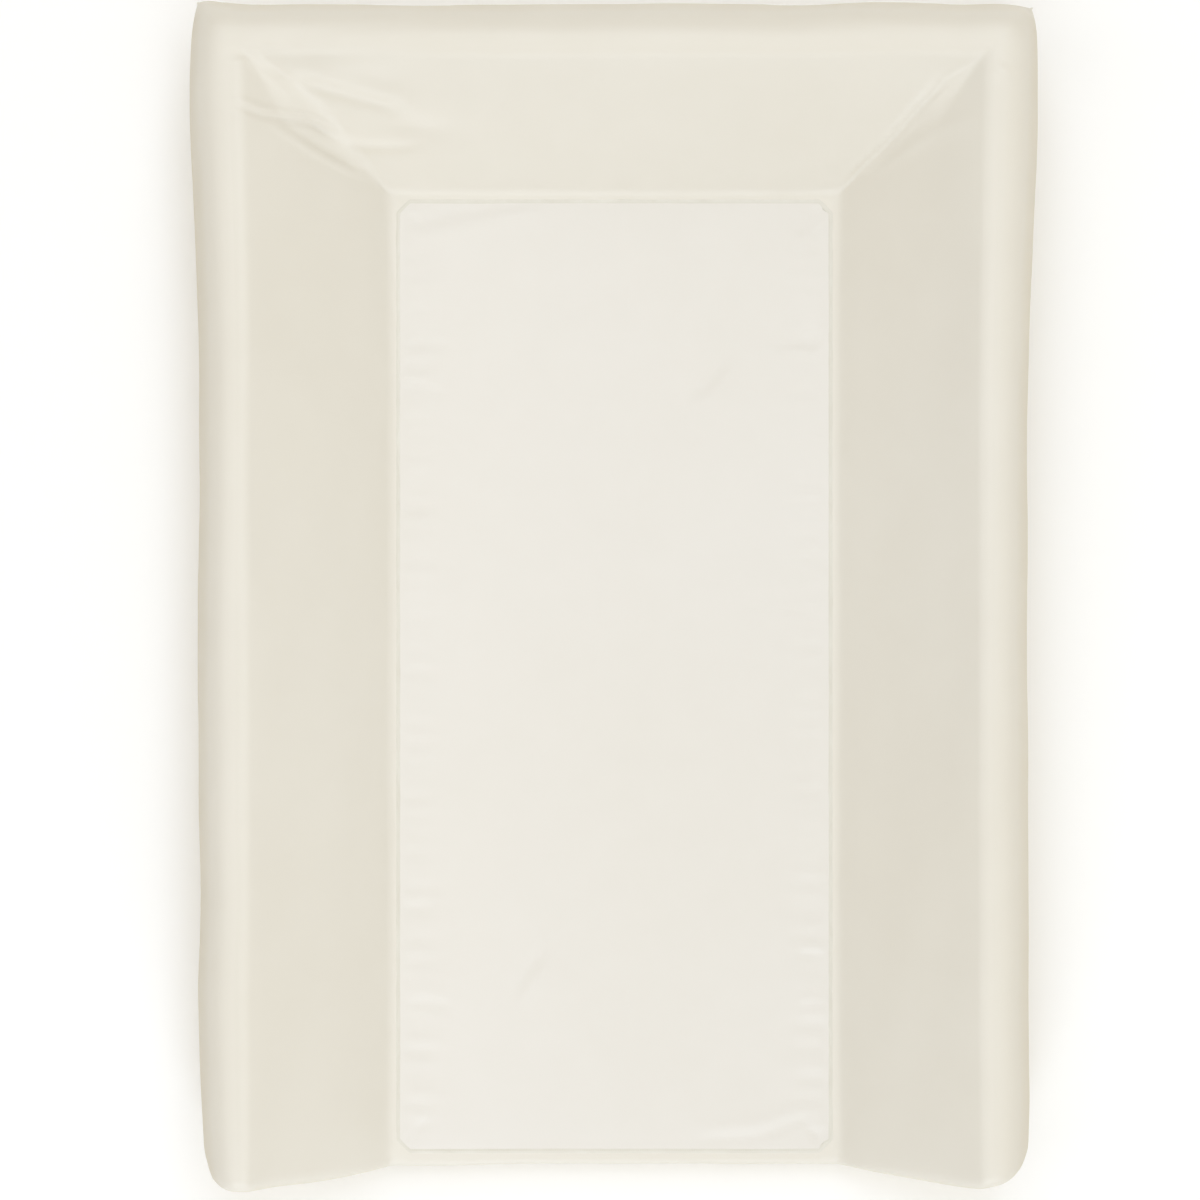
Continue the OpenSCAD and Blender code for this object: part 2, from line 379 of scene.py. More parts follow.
def loop_indices(nx, ny):
    """The outer edge of the top grid, anticlockwise seen from above, from the foot left corner."""
    i = [*range(nx - 1), *[nx - 1] * (ny - 1), *range(nx - 1, 0, -1), *[0] * (ny - 1)]
    j = [*[0] * (nx - 1), *range(ny - 1), *[ny - 1] * (nx - 1), *range(ny - 1, 0, -1)]
    return np.array(i), np.array(j)


def skin_mesh(xs, ys, top, wall):
    """Vertices and faces, the number of each vertex of the top grid and of each one down the
    wall, and the numbers on the window's edge."""
    nx, ny = len(xs), len(ys)
    tol = 1e-6
    in_hole_x = np.abs(xs) < WINDOW_X - tol
    in_hole_y = (ys > WINDOW_FOOT + tol) & (ys < WINDOW_HEAD - tol)
    keep = ~(in_hole_x[:, None] & in_hole_y[None, :])
    number = np.full((nx, ny), -1)
    number[keep] = np.arange(keep.sum())
    verts = [top[keep]]
    faces = []
    mid_x, mid_y = (xs[1:] + xs[:-1]) / 2, (ys[1:] + ys[:-1]) / 2
    hole = (np.abs(mid_x) < WINDOW_X)[:, None] & ((mid_y > WINDOW_FOOT) & (mid_y < WINDOW_HEAD))[None, :]
    for i, j in zip(*np.nonzero(~hole)):
        faces.append((number[i, j], number[i + 1, j], number[i + 1, j + 1], number[i, j + 1]))
    loop_i, loop_j = loop_indices(nx, ny)
    m, rows = wall.shape[:2]
    wall_number = keep.sum() + np.arange(m * rows).reshape(m, rows)
    verts.append(wall.reshape(-1, 3))
    column = np.column_stack([number[loop_i, loop_j], wall_number])
    for a in range(m):
        b = (a + 1) % m
        for k in range(rows):
            faces.append((column[a, k], column[a, k + 1], column[b, k + 1], column[b, k]))
    within_x = np.abs(xs) <= WINDOW_X + tol
    within_y = (ys >= WINDOW_FOOT - tol) & (ys <= WINDOW_HEAD + tol)
    on_side = np.abs(np.abs(xs) - WINDOW_X) < tol
    on_end = (np.abs(ys - WINDOW_FOOT) < tol) | (np.abs(ys - WINDOW_HEAD) < tol)
    on_edge = (on_side[:, None] & within_y[None, :]) | (within_x[:, None] & on_end[None, :])
    return np.vstack(verts), faces, number, column, number[on_edge]


def new_object(name, verts_mm, faces, smooth=True):
    mesh = bpy.data.meshes.new(name)
    points = [tuple(v) for v in np.asarray(verts_mm) * 0.001]
    mesh.from_pydata(points, [], [tuple(int(k) for k in f) for f in faces])
    mesh.update()
    mesh.polygons.foreach_set("use_smooth", [smooth] * len(mesh.polygons))
    obj = bpy.data.objects.new(name, mesh)
    bpy.context.scene.collection.objects.link(obj)
    return obj


def face_out(obj):
    """Turns the faces of a closed piece outwards."""
    bm = bmesh.new()
    bm.from_mesh(obj.data)
    bmesh.ops.recalc_face_normals(bm, faces=bm.faces)
    bm.to_mesh(obj.data)
    bm.free()
    return obj


def between_rings(i, j, m):
    """Faces from ring i to ring j, of m points each."""
    return [(i * m + k, i * m + (k + 1) % m, j * m + (k + 1) % m, j * m + k) for k in range(m)]


def normals_of(obj):
    n = np.zeros(len(obj.data.vertices) * 3)
    obj.data.vertex_normals.foreach_get("vector", n)
    return n.reshape(-1, 3)


def simulate(verts_mm, faces, pins, pressure, spare, bending, frames):
    """Cloth simulation of a film that is larger than its frame by the share spare. Returns how far
    each point moved, in millimetres, and the normals at rest."""
    obj = new_object("sim_film", verts_mm, faces)
    normals = normals_of(obj)
    group = obj.vertex_groups.new(name="pin")
    group.add([int(k) for k in pins], 1.0, "REPLACE")
    cloth = obj.modifiers.new("cloth", "CLOTH")
    s = cloth.settings
    s.quality = 6
    s.mass = 0.25
    s.tension_stiffness = s.compression_stiffness = 35
    s.shear_stiffness = 18
    s.bending_stiffness = bending
    s.tension_damping = s.compression_damping = s.shear_damping = 12
    s.bending_damping = 2
    s.air_damping = 3
    s.vertex_group_mass = "pin"
    s.pin_stiffness = 8
    s.use_pressure = True
    s.uniform_pressure_force = pressure
    s.shrink_min = -spare
    s.effector_weights.gravity = 0
    cloth.collision_settings.use_collision = False
    cloth.point_cache.frame_start, cloth.point_cache.frame_end = 1, frames
    scene = bpy.context.scene
    scene.frame_start, scene.frame_end = 1, frames
    for f in range(1, frames + 1):
        scene.frame_set(f)
    evaluated = obj.evaluated_get(bpy.context.evaluated_depsgraph_get())
    co = np.zeros(len(verts_mm) * 3)
    evaluated.data.vertices.foreach_get("co", co)
    moved = co.reshape(-1, 3) * 1000 - verts_mm
    scene.frame_set(1)
    mesh = obj.data
    bpy.data.objects.remove(obj)
    bpy.data.meshes.remove(mesh)
    return moved, normals


def settle(moved, normals, out_cap, in_cap, slide_cap):
    """Caps a simulated move: outwards by out_cap, in against the foam by in_cap."""
    out = np.einsum("ij,ij->i", moved, normals)
    slide = moved - out[:, None] * normals
    out = np.where(out > 0, out_cap * np.tanh(out / out_cap), in_cap * np.tanh(out / in_cap))
    length = np.linalg.norm(slide, axis=1)
    slide *= (slide_cap * np.tanh(length / slide_cap) / np.maximum(length, 1e-9))[:, None]
    return out[:, None] * normals + slide


def relax(moved, faces, pins, rounds):
    """Evens out a simulated move between neighbours, which takes out cell-sized lumps."""
    quads = np.array([f for f in faces])
    a, b = quads.ravel(), np.roll(quads, -1, 1).ravel()
    a, b = np.concatenate([a, b]), np.concatenate([b, a])
    count = np.bincount(a, minlength=len(moved))[:, None]
    held = np.array([int(k) for k in pins])
    for _ in range(rounds):
        around = np.stack([np.bincount(a, moved[b, k], len(moved)) for k in range(3)], -1) / count
        moved = 0.4 * moved + 0.6 * around
        moved[held] = 0
    return moved


def catmull(values, index, wrap=False):
    """Values along their first axis, read smoothly at fractional indices."""
    n = len(values)
    i = np.clip(np.floor(index).astype(int), 0, n - 1 if wrap else n - 2)
    t = (index - i).reshape((-1,) + (1,) * (values.ndim - 1))

    def at(k):
        return values[k % n] if wrap else values[np.clip(k, 0, n - 1)]

    a, b, c, d = at(i - 1), at(i), at(i + 1), at(i + 2)
    return b + 0.5 * t * (c - a + t * (2 * a - 5 * b + 4 * c - d + t * (3 * (b - c) + d - a)))


def simulated_skin(detail_axes, wall_index):
    """The simulated move of the border film, read at the samples of the fine skin."""
    (xs, _), (ys, _) = skin_axes(False)
    steps = np.linspace(0, 1, 7)
    top, wall = skin_points(xs, ys, steps, False)
    verts, faces, number, column, hole = skin_mesh(xs, ys, top, wall)
    pins = set(hole) | set(column[:, -1])
    moved, normals = simulate(verts, faces, pins, pressure=2.2, spare=0.012, bending=1.5, frames=18)
    settled = settle(moved, normals, out_cap=2.6, in_cap=0.5, slide_cap=1.6)
    moved = BORDER_GIVE * relax(settled, faces, pins, rounds=4)
    top_move = np.zeros(top.shape)
    top_move[number >= 0] = moved[number[number >= 0]]
    wall_move = moved[column]
    (_, ix), (_, iy) = detail_axes
    fine_top = catmull(catmull(top_move, ix).transpose(1, 0, 2), iy).transpose(1, 0, 2)
    li, lj = loop_indices(len(ix), len(iy))
    nx, ny = len(xs) - 1, len(ys) - 1
    a, b, c = len(ix) - 1, len(ix) + len(iy) - 2, 2 * len(ix) + len(iy) - 3
    place = np.concatenate([
        ix[li[:a]],
        nx + iy[lj[a:b]],
        nx + ny + nx - ix[li[b:c]],
        2 * nx + ny + ny - iy[lj[c:]],
    ])
    fine_wall = catmull(wall_move, place, wrap=True)
    fine_wall = catmull(fine_wall.transpose(1, 0, 2), wall_index).transpose(1, 0, 2)
    return fine_top, fine_wall[:, 1:]


def border_cover():
    axes = skin_axes(True)
    (xs, _), (ys, _) = axes
    steps = np.linspace(0, 1, 13)
    top, wall = skin_points(xs, ys, steps, True)
    move_top, move_wall = simulated_skin(axes, steps * 6)
    top = top + move_top
    wall = wall + move_wall * (1 - near_vent(wall[..., 0], wall[..., 1], wall[..., 2]))[..., None]
    top, wall = spread(top), spread(wall)
    verts, faces, _, column, _ = skin_mesh(xs, ys, top, wall)
    # round holes in the head wall for the barrels of the vents
    li, lj = loop_indices(len(xs), len(ys))
    drop = set()
    for side in (-1, 1):
        on_head = np.nonzero(lj == len(ys) - 1)[0]
        a = on_head[np.argmin(np.abs(xs[li[on_head]] - side * VENT[0]))]
        k = 1 + int(np.argmin(np.abs(wall[a, :, 2] - VENT[2])))
        drop.add(column[a, k])
        for da in (-1, 0, 1):
            for dk in (-1, 0, 1):
                if da or dk:
                    angle = math.atan2(-dk, -da)
                    x = side * VENT[0] + VENT_HOLE * math.cos(angle)
                    verts[column[a + da, k + dk]] = (x, WALL_Y, VENT[2] + VENT_HOLE * math.sin(angle))
    faces = [f for f in faces if not drop & set(f)]
    used = sorted({v for f in faces for v in f})
    renumber = dict(zip(used, range(len(used))))
    faces = [tuple(renumber[v] for v in f) for f in faces]
    obj = new_object("cover_border", verts[used], faces)
    thicken(obj)
    corners = [0, len(xs) - 1, len(xs) + len(ys) - 2, 2 * len(xs) + len(ys) - 3]
    seams = [verts[column[c]] for c in corners]
    return obj, seams


def thicken(obj, thickness=FILM):
    """Gives a film its thickness, with a crisp cut edge."""
    mesh = obj.data
    edge = np.zeros(len(mesh.loops), dtype=np.int32)
    mesh.loops.foreach_get("edge_index", edge)
    mesh.edges.foreach_set("use_edge_sharp", np.bincount(edge, minlength=len(mesh.edges)) == 1)
    solid = obj.modifiers.new("film", "SOLIDIFY")
    solid.thickness = thickness * 0.001
    solid.offset = -1
    return obj


# The centre panel


def panel_folds(x, y):
    z = np.zeros(x.shape)
    z += fold(x, y, [(-129, 217), (-88, 227), (-33, 238.5)], 6.0, 1.3, 0.7, 0.25)
    z += fold(x, y, [(-131, 154), (-116, 154.5), (-98, 152)], 3.0, -0.9, 0.8, 0.3)
    z += fold(x, y, [(-131, 129), (-116, 128), (-101, 121)], 3.0, -0.9, 0.8, 0.3)
    z += fold(x, y, [(-131, -249), (-116, -248), (-98, -250)], 3.2, -1.0, 0.8, 0.3)
    z += fold(x, y, [(92, 153), (112, 154.5), (131, 153)], 3.0, -1.1, -0.8, 0.3)
    z += fold(x, y, [(75, -5), (104, -7.5), (131, -7)], 3.4, -0.9, -0.9, 0.3)
    z += fold(x, y, [(110, -217), (131, -219.5)], 2.8, -0.9, 0.8, 0.35)
    z += fold(x, y, [(110, -250), (131, -248)], 2.8, -0.8, 0.8, 0.35)
    z += fold(x, y, [(73, 153), (56, 130), (38, 119)], 4.2, -1.2, 0.9, 0.35)
    z += fold(x, y, [(-40, -211), (-54, -228), (-68, -251)], 4.2, -1.1, 0.9, 0.35)
    z += fold(x, y, [(42, -332), (88, -329), (128, -314)], 4.0, -1.0, 0.9, 0.3)
    z += 0.9 * bump(x, 46, 11) * bump(y, -5, 9)
    z += 0.5 * bump(x, -20, 60) * bump(y, 90, 50) - 0.4 * bump(x, 30, 50) * bump(y, -120, 60)
    # short creases off the cut corners
    for sy, wy in ((1, PANEL_HIGH[1]), (-1, PANEL_LOW[1])):
        for sx in (-1, 1):
            cx, cy = sx * (PANEL_HIGH[0] - 2.5), wy - sy * 2.5
            path = [(cx, cy), (cx - sx * 7, cy - sy * 8), (cx - sx * 17, cy - sy * 17)]
            z += fold(x, y, path, 2.4, -0.6, 0.6, 0.25)
    return z


def centre_cover():
    w, low, high = WELD_X - LAP, WELD_FOOT + LAP, WELD_HEAD - LAP
    chamfer = CHAMFER - 0.6
    middle, half = (low + high) / 2, (high - low) / 2

    def grid(cells_x, cells_y):
        xs, ys = np.linspace(-w, w, cells_x + 1), np.linspace(-half, half, cells_y + 1)
        x, y = np.meshgrid(xs, ys, indexing="ij")
        u = np.clip((np.abs(x) - (w - chamfer)) / chamfer, 0, 1)
        v = np.clip((np.abs(y) - (half - chamfer)) / chamfer, 0, 1)
        x = x - np.sign(x) * chamfer * u * v / 2
        y = y - np.sign(y) * chamfer * u * v / 2
        number = np.arange(x.size).reshape(x.shape)
        quads = np.stack([number[:-1, :-1], number[1:, :-1], number[1:, 1:], number[:-1, 1:]], -1)
        edge = np.concatenate([number[0], number[-1], number[:, 0], number[:, -1]])
        return x, y + middle, quads.reshape(-1, 4).tolist(), edge

    def crown(x, y):
        d = np.minimum(w - np.abs(x), half - np.abs(y - middle))
        return LIE + 0.45 * (1 - (1 - np.clip(d / 40, 0, 1)) ** 2)

    x, y, faces, _ = grid(136, 264)
    z = crown(x, y)
    d = np.minimum(w - np.abs(x), half - np.abs(y - middle))
    inner = ease(0, 5, d)
    z += inner * (0.8 * panel_folds(x, y) + 0.30 * waves(x, y * 0.8, 31, 120) + 0.06 * waves(x, y, 32, 30))
    z += 0.7 * bump(w - np.abs(x), 11, 12) * waves(x * 0.12, y, 33, 15) * ease(0, 5, d)
    z += 0.10 * bump(half - np.abs(y - middle), 7, 5) * waves(x, y * 0.1, 34, 12) * ease(0, 3, d)
    p = np.stack([x, y, z], -1)
    cx, cy, quads, edge = grid(34, 66)
    rest = np.stack([cx, cy, crown(cx, cy)], -1).reshape(-1, 3)
    moved, normals = simulate(rest, quads, edge, pressure=1.2, spare=0.01, bending=2.0, frames=16)
    settled = settle(moved, normals, out_cap=1.6, in_cap=0.6, slide_cap=1.0)
    moved = PANEL_GIVE * relax(settled, quads, edge, rounds=2).reshape(cx.shape + (3,))
    ix, iy = np.arange(137) / 4, np.arange(265) / 4
    p += catmull(catmull(moved, ix).transpose(1, 0, 2), iy).transpose(1, 0, 2)
    obj = new_object("cover_centre_panel", p.reshape(-1, 3), faces)
    return thicken(obj)


# Welds: a band run along a closed path


def sweep(name, path, out, profile, lift=None):
    """A closed band: profile is a closed list of (outwards, up) in millimetres, turned the same
    way as a section seen along the path. lift adds height to the points above the middle."""
    n, m = len(path), len(profile)
    verts = np.zeros((n, m, 3))
    for k, (o, z) in enumerate(profile):
        verts[:, k, :2] = path[:, :2] + out * o
        verts[:, k, 2] = path[:, 2] + z
        if lift is not None and z > 0.0:
            verts[:, k, 2] += lift
    faces = [face for i in range(n) for face in between_rings(i, (i + 1) % n, m)]
    return new_object(name, verts.reshape(-1, 3), faces)


def rounded_path(half_x, half_y, radius, step, middle_y=0.0, cut=False):
    """Points round a rectangle, anticlockwise, the outward direction at each, and how far along
    it is. Its corners are rounded, or cut straight across."""
    points, out = [], []
    corners = [(1, -1, -90), (1, 1, 0), (-1, 1, 90), (-1, -1, 180)]
    for sx, sy, start in corners:
        cx, cy = sx * (half_x - radius), sy * (half_y - radius)
        n = 12
        for i in range(n + 1):
            t = math.radians(start + 90 * i / n)
            ox, oy = math.cos(t), math.sin(t)
            ux, uy = ox, oy
            if cut:
                share = i / n
                ax, ay = math.cos(math.radians(start)), math.sin(math.radians(start))
                ux, uy = ax * (1 - share) - ay * share, ay * (1 - share) + ax * share
            points.append((cx + radius * ux, cy + radius * uy))
            out.append((ox, oy))
    points, out = np.array(points), np.array(out)
    closed, closed_out = np.vstack([points, points[:1]]), np.vstack([out, out[:1]])
    run = np.concatenate([[0], np.cumsum(np.hypot(*np.diff(closed, axis=0).T))])
    s = np.linspace(0, run[-1], int(run[-1] / step), endpoint=False)
    p = np.column_stack([np.interp(s, run, closed[:, k]) for k in (0, 1)])
    o = np.column_stack([np.interp(s, run, closed_out[:, k]) for k in (0, 1)])
    o /= np.linalg.norm(o, axis=1)[:, None]
    return np.column_stack([p[:, 0], p[:, 1] + middle_y, np.zeros(len(p))]), o, s


def window_weld():
    half, middle = (WELD_HEAD - WELD_FOOT) / 2, (WELD_HEAD + WELD_FOOT) / 2
    path, out, s = rounded_path(WELD_X, half, CHAMFER, 1.0, middle, cut=True)
    path[:, 2] = LIE
    profile = [
        (-1.8, -0.12), (-1.35, 0.0), (-0.95, 0.08), (-0.5, 0.16), (0.0, 0.2), (0.5, 0.16), (0.95, 0.08),
        (1.35, 0.0), (1.8, -0.12), (1.2, -0.46), (-1.2, -0.46),
    ]
    lift = 0.02 * np.sin(s * 2 * math.pi / 3.6) + 0.03 * waves(s, s * 0, 41, 40)
    return face_out(sweep("cover_window_weld", path, out, profile, lift))


def hem_weld():
    path, out, s = rounded_path(WALL_X, WALL_Y, CREST, 0.9)
    path[:, 2] = 0
    edge = HEM_X - WALL_X
    rib = 0.10 * np.sin(s * 2 * math.pi / 2.7)
    profile = [
        (-1.2, BASE_TOP), (edge - 0.15, BASE_TOP), (edge, 0.85), (edge - 0.12, 1.3), (edge - 0.5, 1.5),
        (edge - 1.2, 1.5), (edge - 1.7, 1.22), (edge - 2.2, 1.22), (edge - 2.7, 1.55),
        (0.3, 1.62), (-1.2, 1.5),
    ]
    n, m = len(path), len(profile)
    obj = sweep("cover_hem", path, out, profile)
    co = np.zeros(n * m * 3)
    obj.data.vertices.foreach_get("co", co)
    co = co.reshape(n, m, 3)
    co[:, 4:10, 2] += rib[:, None] * 0.001
    ripple = 0.25 * waves(s, s * 0, 42, 60) * 0.001
    co[:, 1:5, :2] += (out * np.minimum(ripple, 0)[:, None])[:, None, :]
    obj.data.vertices.foreach_set("co", co.ravel())
    obj.data.update()
    return face_out(obj)


def underside():
    xs, ys = np.linspace(-HEM_X, HEM_X, 91), np.linspace(-HEM_Y, HEM_Y, 127)
    x, y = np.meshgrid(xs, ys, indexing="ij")
    r = 24.0  # radius of the hem's corners
    u = np.clip((np.abs(x) - (HEM_X - r)) / r, 0, 1)
    v = np.clip((np.abs(y) - (HEM_Y - r)) / r, 0, 1)
    x = x + np.sign(x) * r * u * (np.sqrt(1 - v * v / 2) - 1)
    y = y + np.sign(y) * r * v * (np.sqrt(1 - u * u / 2) - 1)
    inside = ease(0, 30, np.minimum(HEM_X - np.abs(x), HEM_Y - np.abs(y)))
    slack = np.maximum(0, waves(x, y, 51, 110)) ** 2 * 0.5 + 0.06 * (1 + waves(x, y, 52, 26))
    z = BASE_TOP - 0.02 + inside * np.minimum(slack, 0.9)
    number = np.arange(x.size).reshape(x.shape)
    quads = np.stack([number[:-1, :-1], number[1:, :-1], number[1:, 1:], number[:-1, 1:]], -1)
    obj = new_object("cover_underside", np.stack([x, y, z], -1).reshape(-1, 3), quads.reshape(-1, 4).tolist())
    return thicken(obj, BASE_TOP - 0.04)


def corner_dart(name, seam, sx, sy):
    """Fin of fused film up an upright corner. seam runs from the crest down to the hem."""
    t = np.linspace(0.4, len(seam) - 1.25, 40)
    line = catmull(seam, t)
    out = np.array([sx, sy, 0]) / math.sqrt(2)
    side = np.array([-sy, sx, 0]) / math.sqrt(2)
    section = [
        (-0.8, -0.55), (0.6, -0.5), (1.15, -0.42), (1.4, -0.18),
        (1.4, 0.18), (1.15, 0.42), (0.6, 0.5), (-0.8, 0.55),
    ]
    run = np.linspace(0, 1, len(line))
    grow = ease(0, 0.12, run) * ease(0, 0.05, 1 - run) * 0.9 + 0.1
    ripple = 0.25 * waves(run * 80, run * 0, 61 + int(sx + 2 * sy), 18)
    verts = []
    for p, g, w in zip(line, grow, ripple):
        for o, q in section:
            reach = o * g if o > 0 else o
            verts.append(p + out * reach + side * (q + w * (o > 0)))
    n, m = len(line), len(section)
    faces = [face for i in range(n - 1) for face in between_rings(i, i + 1, m)]
    faces += [tuple(range(m))[::-1], tuple((n - 1) * m + k for k in range(m))]
    return face_out(new_object(name, np.array(verts), faces))


# Foam: cut blocks, with softened edges


def foam_block(name, node, fixed):
    """A rounded copy of a CAD foam block, a little inside the film. fixed(n) is the share of the
    inset that a face with that normal keeps."""
    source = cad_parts[node]
    obj = bpy.data.objects.new(name, source.data.copy())
    obj.data.materials.clear()
    bpy.context.scene.collection.objects.link(obj)
    remesh = obj.modifiers.new("remesh", "REMESH")
    remesh.mode = "VOXEL"
    remesh.voxel_size = FOAM_VOXEL
    smooth = obj.modifiers.new("smooth", "SMOOTH")
    smooth.factor, smooth.iterations = 0.5, 3
    depsgraph = bpy.context.evaluated_depsgraph_get()
    mesh = bpy.data.meshes.new_from_object(obj.evaluated_get(depsgraph))
    obj.modifiers.clear()
    old = obj.data
    obj.data = mesh
    bpy.data.meshes.remove(old)
    mesh.name = name
    n = len(mesh.vertices)
    co, no = np.zeros(n * 3), np.zeros(n * 3)
    mesh.vertices.foreach_get("co", co)
    mesh.vertex_normals.foreach_get("vector", no)
    co, no = co.reshape(n, 3) * 1000, no.reshape(n, 3)
    low, high = co[:, 2].min(), co[:, 2].max()
    inset = FOAM_INSET + 0.25 * waves(co[:, 0] + co[:, 2], co[:, 1] - co[:, 2], 71, 24)
    co -= no * (inset * fixed(no))[:, None]
    co[:, 2] = np.clip(co[:, 2], low, high)
    # the rounded crest is compressed under the film
    limit = belly(co[:, 2]) - CREST_GAP
    for k, wall in ((0, WALL_X), (1, WALL_Y)):
        reach = np.sign(co[:, k]) * (wall + limit)
        over = (np.abs(co[:, k]) > np.abs(reach)) & ((k == 0) | (co[:, 1] > 0)) & (co[:, 2] > BELLY_Z)
        co[over, k] = reach[over]
    # and so are the head corners
    radius = FOAM_CORNER + (FOAM_CORNER_TOP - FOAM_CORNER) * ease(BELLY_Z, TOP, co[:, 2])
    past = np.stack([np.abs(co[:, 0]) - WALL_X, np.abs(co[:, 1]) - WALL_Y]) - limit + radius
    past = np.maximum(past, 0)
    far = np.maximum(np.hypot(*past), 1e-6)
    pull = np.where((far > radius) & (co[:, 1] > 0) & (co[:, 2] > BELLY_Z), 1 - radius / far, 0)
    co[:, :2] -= np.sign(co[:, :2]) * (past * pull).T
    co = spread(co)
    mesh.vertices.foreach_set("co", (co * 0.001).ravel())
    mesh.update()
    mesh.polygons.foreach_set("use_smooth", [True] * len(mesh.polygons))
    return obj


def slab_share(normals):
    """The top of the slab keeps less of the inset, to carry the panel."""
    return np.where(normals[:, 2] > 0.7, 0.7, 1)


def wedge_share(normals):
    """The underside of a wedge stays on the slab."""
    return np.where(normals[:, 2] < -0.7, 0.05, 1)


# Vents: turned parts whose axis runs through the head wall


def turned(name, profile, x, z, segments=56):
    """A closed section of (radius, y) turned round the line through (x, z) along Y."""
    verts, faces = [], []
    m = len(profile)
    for i in range(segments):
        t = 2 * math.pi * i / segments
        verts += [(x + r * math.cos(t), y, z + r * math.sin(t)) for r, y in profile]
        faces += between_rings(i, (i + 1) % segments, m)
    return face_out(new_object(name, verts, faces))


def eyelet(name, x):
    y = WALL_Y
    profile = [
        (2.5, y - 3.95), (2.5, y + 0.35), (2.75, y + 0.68), (3.2, y + 0.8), (4.2, y + 0.72),
        (5.4, y + 0.62), (6.15, y + 0.5), (6.5, y + 0.25), (6.45, y + 0.03), (3.5, y + 0.02),
        (3.5, y - 3.7), (3.3, y - 3.95), (2.8, y - 4.0),
    ]
    return turned(name, profile, x, VENT[2])


def washer(name, x):
    y = WALL_Y - FILM
    profile = [
        (3.55, y - 0.05), (3.55, y - 0.5), (3.75, y - 0.6), (6.2, y - 0.6),
        (6.5, y - 0.42), (6.5, y - 0.12), (6.3, y - 0.02),
    ]
    return turned(name, profile, x, VENT[2])


# Materials


class Shader:
    """A Principled material with short ways to add textures to it."""

    def __init__(self, name):
        self.material = bpy.data.materials.new(name)
        self.material.use_nodes = True
        self.tree = self.material.node_tree
        self.surface = self.tree.nodes["Principled BSDF"]
        self.where = self.tree.nodes.new("ShaderNodeTexCoord").outputs["Object"]

    def node(self, kind, **settings):
        made = self.tree.nodes.new(kind)
        for key, value in settings.items():
            setattr(made, key, value)
        return made

    def link(self, a, b):
        self.tree.links.new(a, b)

    def noise(self, scale, detail=2.0, rough=0.5):
        made = self.node("ShaderNodeTexNoise")
        made.inputs["Scale"].default_value = scale
        made.inputs["Detail"].default_value = detail
        made.inputs["Roughness"].default_value = rough
        self.link(self.where, made.inputs["Vector"])
        return made.outputs["Fac"]

    def patches(self, scale, detail=2.0, rough=0.5, low=0.3, high=0.7, least=0.0, most=1.0):
        """Noise between low and high, spread over least to most."""
        return self.spread_to(self.noise(scale, detail, rough), low, high, least, most)

    def cells(self, scale):
        made = self.node("ShaderNodeTexVoronoi")
        made.inputs["Scale"].default_value = scale
        self.link(self.where, made.inputs["Vector"])
        return made.outputs["Distance"]

    def upright(self):
        """1 where the film lies flat, and 0 where it hangs straight down."""
        parts = self.node("ShaderNodeSeparateXYZ")
        self.link(self.node("ShaderNodeTexCoord").outputs["Normal"], parts.inputs["Vector"])
        return parts.outputs["Z"]

    def bands(self, scale, direction):
        made = self.node("ShaderNodeTexWave", bands_direction=direction)
        made.inputs["Scale"].default_value = scale
        made.inputs["Distortion"].default_value = 0.6
        self.link(self.where, made.inputs["Vector"])
        return made.outputs["Fac"]

    def spread_to(self, value, low, high, out_low, out_high):
        made = self.node("ShaderNodeMapRange")
        for key, number in zip(("From Min", "From Max", "To Min", "To Max"), (low, high, out_low, out_high)):
            made.inputs[key].default_value = number
        self.link(value, made.inputs["Value"])
        return made.outputs["Result"]

    def mix(self, factor, a, b):
        made = self.node("ShaderNodeMix", data_type="RGBA")
        if isinstance(factor, float):
            made.inputs["Factor"].default_value = factor
        else:
            self.link(factor, made.inputs["Factor"])
        for key, colour in (("A", a), ("B", b)):
            socket = [s for s in made.inputs if s.name == key and s.type == "RGBA"][0]
            if isinstance(colour, tuple):
                socket.default_value = (*colour, 1)
            else:
                self.link(colour, socket)
        return [s for s in made.outputs if s.type == "RGBA"][0]

    def add(self, a, b):
        made = self.node("ShaderNodeMath", operation="ADD")
        self.link(a, made.inputs[0])
        self.link(b, made.inputs[1])
        return made.outputs[0]

    def bump(self, height, strength, distance):
        made = self.node("ShaderNodeBump")
        made.inputs["Strength"].default_value = strength
        made.inputs["Distance"].default_value = distance
        self.link(height, made.inputs["Height"])
        before = self.surface.inputs["Normal"]
        if before.is_linked:
            self.link(before.links[0].from_socket, made.inputs["Normal"])
        self.link(made.outputs["Normal"], before)

    def colour(self, socket):
        self.link(socket, self.surface.inputs["Base Color"])

    def set(self, **values):
        for key, value in values.items():
            socket = self.surface.inputs[key.replace("_", " ")]
            if hasattr(value, "links"):
                self.link(value, socket)
            else:
                socket.default_value = value


def film_material(name, light, warm, rough, coat, wall=0.0):
    """Wipe-clean film: smooth and satin, faintly uneven in tone, with a very fine pressed grain.
    wall is the strength of a painted shade: a deeper, warmer tone where the film hangs down the outer walls."""
    s = Shader(name)
    tone = s.patches(3.5, 3.0, low=0.35, high=0.65)
    small = s.patches(38)
    base = s.mix(tone, light, warm)
    flecked = s.mix(0.16, base, s.mix(small, tuple(c * 0.985 for c in light), tuple(c * 0.94 for c in warm)))
    # painted shade: the colour turns deeper and warmer as the normal tips from upright to hanging, standing
    # in for the shade on the outer walls
    painted_wall_shade = tuple(c * k for c, k in zip(warm, (0.89, 0.83, 0.66)))
    s.colour(s.mix(s.spread_to(s.upright(), 0.62, 0.0, 0.0, wall), flecked, painted_wall_shade))
    s.set(Roughness=s.patches(22, 4.0, 0.6, least=rough - 0.05, most=rough + 0.07))
    s.set(Coat_Weight=coat, Coat_Roughness=0.25, Specular_IOR_Level=0.38)
    s.bump(s.noise(26, 2.0), 0.10, 0.002)
    s.bump(s.cells(900), 0.05, 0.0003)
    return s.material


